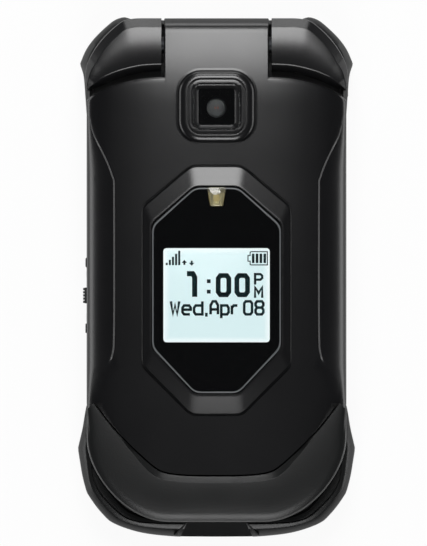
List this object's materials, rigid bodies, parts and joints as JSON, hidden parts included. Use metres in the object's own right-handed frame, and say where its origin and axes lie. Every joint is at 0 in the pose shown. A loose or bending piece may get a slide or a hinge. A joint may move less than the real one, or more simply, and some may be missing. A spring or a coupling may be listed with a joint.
{
  "type": "flip phone",
  "caption": "Rugged folding phone with an outer display, a torch, corner bumpers, a sprung keypad and a lid on a friction hinge.",
  "frame": {"origin": "centre of the closed phone's footprint, on the surface that its back rests on", "axes": "+X to the right when the outer display faces the viewer, +Y towards the hinge, +Z out of the lid's outer face"},
  "size_m": [0.0592, 0.111, 0.0235],
  "materials": {
    "soft_touch_black": "matte soft-touch coating",
    "casing_black": "fine moulded texture",
    "bumper_rubber": "textured elastomer",
    "cover_rubber": "smooth elastomer",
    "key_black": "satin moulded keycap",
    "key_green": "satin moulded keycap",
    "key_red": "satin moulded keycap",
    "ring_grey": "satin painted",
    "lock_grey": "moulded",
    "seal_red": "silicone",
    "battery_grey": "wrapped cell",
    "board_green": "solder mask over laminate",
    "dome_steel": "stainless",
    "part_grey": "moulded",
    "window_glass": "gloss, black backed",
    "lcd_pale": "backlit display",
    "screen_dark": "display, off",
    "lens_clear": "clear moulded lens",
    "led_yellow": "phosphor"
  },
  "bodies": {
    "base": {"rear_casing": "casing_black", "keypad_deck": "soft_touch_black", "shoulder_left": "soft_touch_black", "shoulder_right": "soft_touch_black", "corner_bumper_left": "bumper_rubber", "corner_bumper_right": "bumper_rubber", "bottom_bumper": "bumper_rubber", "battery_cover": "casing_black", "battery_seal": "seal_red", "battery": "battery_grey", "main_board": "board_green", "dome_sheet": "dome_steel", "loudspeaker": "part_grey", "usb_socket": "dome_steel", "headset_socket": "part_grey", "case_screws": "dome_steel", "hinge_pin": "dome_steel"},
    "lid": {"lid_shell": "soft_touch_black", "chin_bumper": "bumper_rubber", "lid_inner_bezel": "casing_black", "display_bezel": "soft_touch_black", "outer_window": "window_glass", "outer_display": "lcd_pale", "torch_lens": "lens_clear", "torch_led": "led_yellow", "camera_bezel": "soft_touch_black", "camera_window": "window_glass", "camera_module": "part_grey", "main_window": "window_glass", "main_display": "screen_dark", "lid_frame": "dome_steel", "lid_board": "board_green", "earpiece": "part_grey", "lid_pads": "cover_rubber", "hinge_module": "dome_steel"},
    "key_1": {"key_1": "key_black"},
    "key_2": {"key_2": "key_black"},
    "key_3": {"key_3": "key_black"},
    "key_4": {"key_4": "key_black"},
    "key_5": {"key_5": "key_black"},
    "key_6": {"key_6": "key_black"},
    "key_7": {"key_7": "key_black"},
    "key_8": {"key_8": "key_black"},
    "key_9": {"key_9": "key_black"},
    "key_star": {"key_star": "key_black"},
    "key_0": {"key_0": "key_black"},
    "key_hash": {"key_hash": "key_black"},
    "soft_left_key": {"soft_left_key": "key_black"},
    "soft_right_key": {"soft_right_key": "key_black"},
    "send_key": {"send_key": "key_green"},
    "clear_key": {"clear_key": "key_black"},
    "end_key": {"end_key": "key_red"},
    "ok_key": {"ok_key": "key_black"},
    "volume_up_key": {"volume_up_key": "cover_rubber"},
    "speaker_key": {"speaker_key": "cover_rubber"},
    "volume_down_key": {"volume_down_key": "cover_rubber"},
    "nav_ring": {"nav_ring": "ring_grey"},
    "cover_lock": {"cover_lock": "lock_grey"},
    "usb_cover": {"usb_cover": "cover_rubber"},
    "headset_cover": {"headset_cover": "cover_rubber"}
  },
  "joints": [
    {"name": "lid_hinge", "type": "hinge", "parent": "base", "child": "lid", "pos_m": [0, 0.0493, 0.0157], "axis": [-1, 0, 0], "range_deg": [0, 160]},
    {"name": "key_1_press", "type": "slide", "parent": "base", "child": "key_1", "axis": [0, 0, -1], "range_m": [0, 0.00035], "stiffness_N_per_m": 600, "springref_m": -0.0003},
    {"name": "key_2_press", "type": "slide", "parent": "base", "child": "key_2", "axis": [0, 0, -1], "range_m": [0, 0.00035], "stiffness_N_per_m": 600, "springref_m": -0.0003},
    {"name": "key_3_press", "type": "slide", "parent": "base", "child": "key_3", "axis": [0, 0, -1], "range_m": [0, 0.00035], "stiffness_N_per_m": 600, "springref_m": -0.0003},
    {"name": "key_4_press", "type": "slide", "parent": "base", "child": "key_4", "axis": [0, 0, -1], "range_m": [0, 0.00035], "stiffness_N_per_m": 600, "springref_m": -0.0003},
    {"name": "key_5_press", "type": "slide", "parent": "base", "child": "key_5", "axis": [0, 0, -1], "range_m": [0, 0.00035], "stiffness_N_per_m": 600, "springref_m": -0.0003},
    {"name": "key_6_press", "type": "slide", "parent": "base", "child": "key_6", "axis": [0, 0, -1], "range_m": [0, 0.00035], "stiffness_N_per_m": 600, "springref_m": -0.0003},
    {"name": "key_7_press", "type": "slide", "parent": "base", "child": "key_7", "axis": [0, 0, -1], "range_m": [0, 0.00035], "stiffness_N_per_m": 600, "springref_m": -0.0003},
    {"name": "key_8_press", "type": "slide", "parent": "base", "child": "key_8", "axis": [0, 0, -1], "range_m": [0, 0.00035], "stiffness_N_per_m": 600, "springref_m": -0.0003},
    {"name": "key_9_press", "type": "slide", "parent": "base", "child": "key_9", "axis": [0, 0, -1], "range_m": [0, 0.00035], "stiffness_N_per_m": 600, "springref_m": -0.0003},
    {"name": "key_star_press", "type": "slide", "parent": "base", "child": "key_star", "axis": [0, 0, -1], "range_m": [0, 0.00035], "stiffness_N_per_m": 600, "springref_m": -0.0003},
    {"name": "key_0_press", "type": "slide", "parent": "base", "child": "key_0", "axis": [0, 0, -1], "range_m": [0, 0.00035], "stiffness_N_per_m": 600, "springref_m": -0.0003},
    {"name": "key_hash_press", "type": "slide", "parent": "base", "child": "key_hash", "axis": [0, 0, -1], "range_m": [0, 0.00035], "stiffness_N_per_m": 600, "springref_m": -0.0003},
    {"name": "soft_left_key_press", "type": "slide", "parent": "base", "child": "soft_left_key", "axis": [0, 0, -1], "range_m": [0, 0.00035], "stiffness_N_per_m": 600, "springref_m": -0.0003},
    {"name": "soft_right_key_press", "type": "slide", "parent": "base", "child": "soft_right_key", "axis": [0, 0, -1], "range_m": [0, 0.00035], "stiffness_N_per_m": 600, "springref_m": -0.0003},
    {"name": "send_key_press", "type": "slide", "parent": "base", "child": "send_key", "axis": [0, 0, -1], "range_m": [0, 0.00035], "stiffness_N_per_m": 600, "springref_m": -0.0003},
    {"name": "clear_key_press", "type": "slide", "parent": "base", "child": "clear_key", "axis": [0, 0, -1], "range_m": [0, 0.00035], "stiffness_N_per_m": 600, "springref_m": -0.0003},
    {"name": "end_key_press", "type": "slide", "parent": "base", "child": "end_key", "axis": [0, 0, -1], "range_m": [0, 0.00035], "stiffness_N_per_m": 600, "springref_m": -0.0003},
    {"name": "ok_key_press", "type": "slide", "parent": "base", "child": "ok_key", "axis": [0, 0, -1], "range_m": [0, 0.00035], "stiffness_N_per_m": 600, "springref_m": -0.0003},
    {"name": "volume_up_key_press", "type": "slide", "parent": "base", "child": "volume_up_key", "axis": [1, 0, 0], "range_m": [0, 0.00035], "stiffness_N_per_m": 600, "springref_m": -0.0003},
    {"name": "speaker_key_press", "type": "slide", "parent": "base", "child": "speaker_key", "axis": [1, 0, 0], "range_m": [0, 0.00035], "stiffness_N_per_m": 600, "springref_m": -0.0003},
    {"name": "volume_down_key_press", "type": "slide", "parent": "base", "child": "volume_down_key", "axis": [1, 0, 0], "range_m": [0, 0.00035], "stiffness_N_per_m": 600, "springref_m": -0.0003},
    {"name": "nav_ring_rock", "type": "hinge", "parent": "base", "child": "nav_ring", "pos_m": [0, 0.02899, 0.0109], "axis": [1, 0, 0], "range_deg": [-1.5, 1.5], "stiffness_Nm_per_rad": 0.05},
    {"name": "cover_lock_turn", "type": "hinge", "parent": "base", "child": "cover_lock", "pos_m": [0, -0.0407, 0.001], "axis": [0, 0, -1], "range_deg": [0, 90]},
    {"name": "usb_cover_hinge", "type": "hinge", "parent": "base", "child": "usb_cover", "pos_m": [0.0271, -0.0014, 0.0054], "axis": [0, 0, -1], "range_deg": [0, 95]},
    {"name": "headset_cover_hinge", "type": "hinge", "parent": "base", "child": "headset_cover", "pos_m": [0.0276, 0.0389, 0.0046], "axis": [0, 0, -1], "range_deg": [0, 95]}
  ]
}
